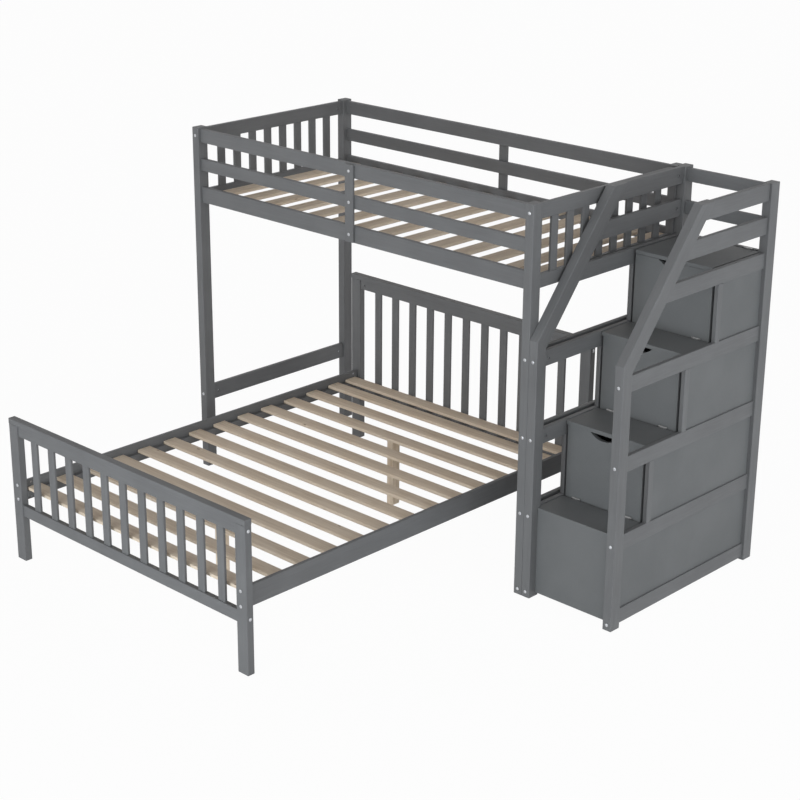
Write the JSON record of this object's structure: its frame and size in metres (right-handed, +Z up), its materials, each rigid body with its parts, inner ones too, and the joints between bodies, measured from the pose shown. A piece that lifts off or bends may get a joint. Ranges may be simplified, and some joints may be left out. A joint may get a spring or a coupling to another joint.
{
  "type": "bunk bed",
  "caption": "Loft bunk bed with a wider bed standing crosswise under it and a storage stair whose steps are hinged lids over boxes.",
  "frame": {"origin": "middle of the whole footprint, on the floor", "axes": "+X along the loft bed towards the stair, +Y from the footboard to the back, +Z up"},
  "size_m": [2.458, 2.215, 1.643],
  "materials": {
    "painted_pine": "satin grey paint on solid pine",
    "painted_board": "satin grey paint on board",
    "bare_pine": "sanded bare pine",
    "zinc_steel": "bright zinc plate",
    "hinge_steel": "dull nickel plate"
  },
  "bodies": {
    "frame": {"loft_post_front_left": "painted_pine", "loft_post_front_right": "painted_pine", "loft_post_back_left": "painted_pine", "loft_post_back_right": "painted_pine", "front_top_guard_rail": "painted_pine", "front_mid_guard_rail": "painted_pine", "front_side_rail": "painted_pine", "back_top_guard_rail": "painted_pine", "back_mid_guard_rail": "painted_pine", "back_side_rail": "painted_pine", "front_guard_strut": "painted_pine", "back_guard_strut": "painted_pine", "left_end_rails": "painted_pine", "left_end_slats": "painted_pine", "right_end_rails": "painted_pine", "right_end_slats": "painted_pine", "slat_ledgers": "painted_pine", "loft_slats": "bare_pine", "headboard_posts": "painted_pine", "headboard_cap": "painted_pine", "headboard_rails": "painted_pine", "headboard_slats": "painted_pine", "footboard_legs": "painted_pine", "footboard_cap": "painted_pine", "footboard_rails": "painted_pine", "footboard_slats": "painted_pine", "bed_side_rail_left": "painted_pine", "bed_side_rail_right": "painted_pine", "bed_slats": "bare_pine", "centre_legs": "bare_pine", "stair_post_front_left": "painted_pine", "stair_post_front_right": "painted_pine", "stair_back_posts": "painted_pine", "left_handrail": "painted_pine", "right_handrail": "painted_pine", "stair_guard_rails": "painted_pine", "left_stair_rails": "painted_pine", "right_stair_rails": "painted_pine", "stair_stiles": "painted_pine", "stair_side_panels": "painted_board", "stair_back_rails": "painted_pine", "stair_back_panel": "painted_board", "stair_risers": "painted_board", "box_side_boards": "painted_board", "box_floors": "painted_board", "box_cleats": "painted_pine", "fixed_leaves": "hinge_steel", "hinge_pins": "hinge_steel", "bed_bolts": "zinc_steel", "steel_nuts": "zinc_steel"},
    "lid_1": {"step_lid_1": "painted_board", "moving_leaves_1": "hinge_steel"},
    "lid_2": {"step_lid_2": "painted_board", "moving_leaves_2": "hinge_steel"},
    "lid_3": {"step_lid_3": "painted_board", "moving_leaves_3": "hinge_steel"},
    "lid_4": {"platform_lid": "painted_board", "moving_leaves_4": "hinge_steel"}
  },
  "joints": [
    {"name": "lid_1_hinge", "type": "hinge", "parent": "frame", "child": "lid_1", "pos_m": [1, 0.3365, 0.3968], "axis": [-1, 0, 0], "range_deg": [0, 91]},
    {"name": "lid_2_hinge", "type": "hinge", "parent": "frame", "child": "lid_2", "pos_m": [1, 0.5415, 0.7238], "axis": [-1, 0, 0], "range_deg": [0, 91]},
    {"name": "lid_3_hinge", "type": "hinge", "parent": "frame", "child": "lid_3", "pos_m": [1, 0.7315, 1.0508], "axis": [-1, 0, 0], "range_deg": [0, 91]},
    {"name": "platform_lid_hinge", "type": "hinge", "parent": "frame", "child": "lid_4", "pos_m": [1, 1.0625, 1.3578], "axis": [-1, 0, 0], "range_deg": [0, 91]}
  ]
}
